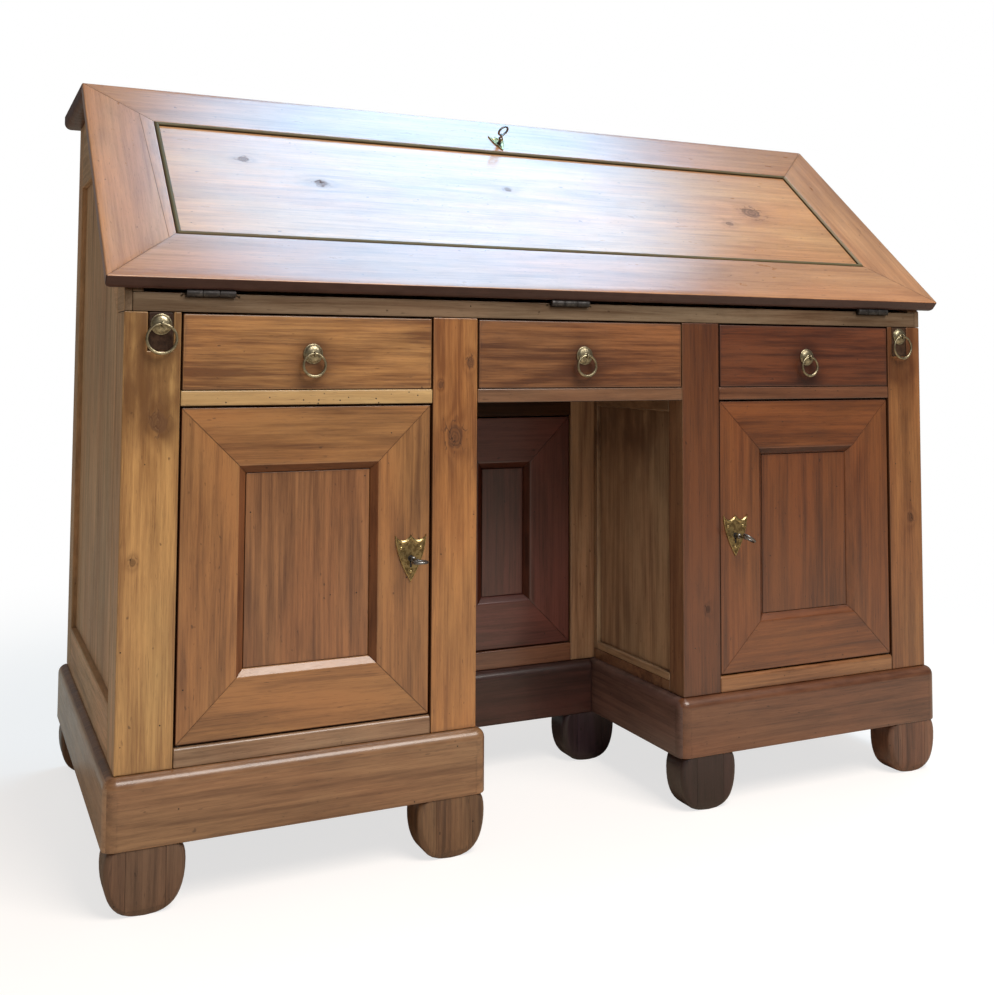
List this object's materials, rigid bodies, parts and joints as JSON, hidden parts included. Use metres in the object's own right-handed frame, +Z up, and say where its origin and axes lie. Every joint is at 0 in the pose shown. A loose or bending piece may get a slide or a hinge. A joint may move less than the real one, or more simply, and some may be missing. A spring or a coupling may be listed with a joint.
{
  "type": "slant-front kneehole desk",
  "caption": "Slant-front writing desk on two cupboard pedestals, with a fold-down lid carried by pull-out lopers, ring-pull drawers, locked doors and a recessed kneehole cupboard.",
  "frame": {"origin": "on the floor, under the middle of the desk's overall width and depth", "axes": "+X to the right of a person who looks at the front, +Y to the back, +Z up"},
  "size_m": [1.38, 0.6636, 1.1072],
  "materials": {
    "honey_wood": "honey-coloured fruitwood, waxed to a satin sheen",
    "lid_wood": "honey-brown fruitwood, waxed and worn, with knots",
    "drawer_wood": "red-brown fruitwood, waxed",
    "door_wood": "brown fruitwood, waxed",
    "rail_wood": "pale yellow-brown fruitwood with worm holes, waxed",
    "side_wood": "grey-brown wood, dry",
    "inside_wood": "plain unpolished wood",
    "foot_wood": "dark brown wood, glued up",
    "brass": "aged brass, dull gold",
    "steel": "dark worn steel"
  },
  "bodies": {
    "case": {"left_side": "side_wood", "right_side": "side_wood", "left_inner_side": "door_wood", "right_inner_side": "door_wood", "kneehole_frame": "door_wood", "kneehole_plinth": "door_wood", "back_panel": "inside_wood", "writing_bed": "inside_wood", "drawer_deck": "inside_wood", "cupboard_floor": "inside_wood", "top_board": "lid_wood", "left_outer_stile": "honey_wood", "left_inner_stile": "honey_wood", "right_inner_stile": "honey_wood", "right_outer_stile": "honey_wood", "left_bottom_rail": "honey_wood", "right_bottom_rail": "honey_wood", "hinge_rail": "honey_wood", "left_plinth": "honey_wood", "right_plinth": "honey_wood", "left_drawer_rail": "rail_wood", "centre_drawer_rail": "rail_wood", "right_drawer_rail": "rail_wood", "left_outer_foot": "foot_wood", "right_outer_foot": "foot_wood", "left_inner_foot": "foot_wood", "right_inner_foot": "foot_wood", "left_kneehole_foot": "foot_wood", "right_kneehole_foot": "foot_wood", "left_rear_foot": "foot_wood", "right_rear_foot": "foot_wood", "left_lid_hinge": "steel", "middle_lid_hinge": "steel", "right_lid_hinge": "steel"},
    "lid": {"lid_frame": "lid_wood", "lid_panel": "lid_wood", "lid_escutcheon": "brass"},
    "lid_key": {"lid_key": "steel"},
    "left_drawer": {"left_drawer": "drawer_wood", "left_drawer_rosette": "brass"},
    "left_drawer_ring": {"left_drawer_ring": "brass"},
    "centre_drawer": {"centre_drawer": "drawer_wood", "centre_drawer_rosette": "brass"},
    "centre_drawer_ring": {"centre_drawer_ring": "brass"},
    "right_drawer": {"right_drawer": "drawer_wood", "right_drawer_rosette": "brass"},
    "right_drawer_ring": {"right_drawer_ring": "brass"},
    "left_loper": {"left_loper": "drawer_wood", "left_loper_rosette": "brass"},
    "left_loper_ring": {"left_loper_ring": "brass"},
    "right_loper": {"right_loper": "drawer_wood", "right_loper_rosette": "brass"},
    "right_loper_ring": {"right_loper_ring": "brass"},
    "left_door": {"left_door": "door_wood", "left_door_escutcheon": "brass"},
    "left_door_key": {"left_door_key": "steel"},
    "right_door": {"right_door": "door_wood", "right_door_escutcheon": "brass"},
    "right_door_key": {"right_door_key": "steel"},
    "kneehole_door": {"kneehole_door": "door_wood"}
  },
  "joints": [
    {"name": "lid_hinge", "type": "hinge", "parent": "case", "child": "lid", "pos_m": [0, -0.29125, 0.77], "axis": [1, 0, 0], "range_deg": [0, 138.3]},
    {"name": "lid_key_turn", "type": "hinge", "parent": "lid", "child": "lid_key", "pos_m": [-0.009, -0.00333, 1.05867], "axis": [0, -0.6652, 0.7466], "range_deg": [-90, 90]},
    {"name": "left_drawer_slide", "type": "slide", "parent": "case", "child": "left_drawer", "axis": [0, -1, 0], "range_m": [0, 0.3]},
    {"name": "left_drawer_ring_swing", "type": "hinge", "parent": "left_drawer", "child": "left_drawer_ring", "pos_m": [-0.4185, -0.29705, 0.6925], "axis": [-1, 0, 0], "range_deg": [0, 100]},
    {"name": "centre_drawer_slide", "type": "slide", "parent": "case", "child": "centre_drawer", "axis": [0, -1, 0], "range_m": [0, 0.3]},
    {"name": "centre_drawer_ring_swing", "type": "hinge", "parent": "centre_drawer", "child": "centre_drawer_ring", "pos_m": [0, -0.29705, 0.6925], "axis": [-1, 0, 0], "range_deg": [0, 100]},
    {"name": "right_drawer_slide", "type": "slide", "parent": "case", "child": "right_drawer", "axis": [0, -1, 0], "range_m": [0, 0.3]},
    {"name": "right_drawer_ring_swing", "type": "hinge", "parent": "right_drawer", "child": "right_drawer_ring", "pos_m": [0.4185, -0.29705, 0.6925], "axis": [-1, 0, 0], "range_deg": [0, 100]},
    {"name": "left_loper_slide", "type": "slide", "parent": "case", "child": "left_loper", "axis": [0, -1, 0], "range_m": [0, 0.28]},
    {"name": "left_loper_ring_swing", "type": "hinge", "parent": "left_loper", "child": "left_loper_ring", "pos_m": [-0.619, -0.29705, 0.729], "axis": [-1, 0, 0], "range_deg": [0, 100]},
    {"name": "right_loper_slide", "type": "slide", "parent": "case", "child": "right_loper", "axis": [0, -1, 0], "range_m": [0, 0.28]},
    {"name": "right_loper_ring_swing", "type": "hinge", "parent": "right_loper", "child": "right_loper_ring", "pos_m": [0.619, -0.29705, 0.729], "axis": [-1, 0, 0], "range_deg": [0, 100]},
    {"name": "left_door_hinge", "type": "hinge", "parent": "case", "child": "left_door", "pos_m": [-0.587, -0.28175, 0.196], "axis": [0, 0, -1], "range_deg": [0, 100]},
    {"name": "left_door_key_turn", "type": "hinge", "parent": "left_door", "child": "left_door_key", "pos_m": [-0.2745, -0.28575, 0.4105], "axis": [0, -1, 0], "range_deg": [-90, 90]},
    {"name": "right_door_hinge", "type": "hinge", "parent": "case", "child": "right_door", "pos_m": [0.587, -0.28175, 0.196], "axis": [0, 0, 1], "range_deg": [0, 100]},
    {"name": "right_door_key_turn", "type": "hinge", "parent": "right_door", "child": "right_door_key", "pos_m": [0.2745, -0.28575, 0.4105], "axis": [0, -1, 0], "range_deg": [-90, 90]},
    {"name": "kneehole_door_hinge", "type": "hinge", "parent": "case", "child": "kneehole_door", "pos_m": [0.121, -0.00875, 0.201], "axis": [0, 0, 1], "range_deg": [0, 90]}
  ]
}
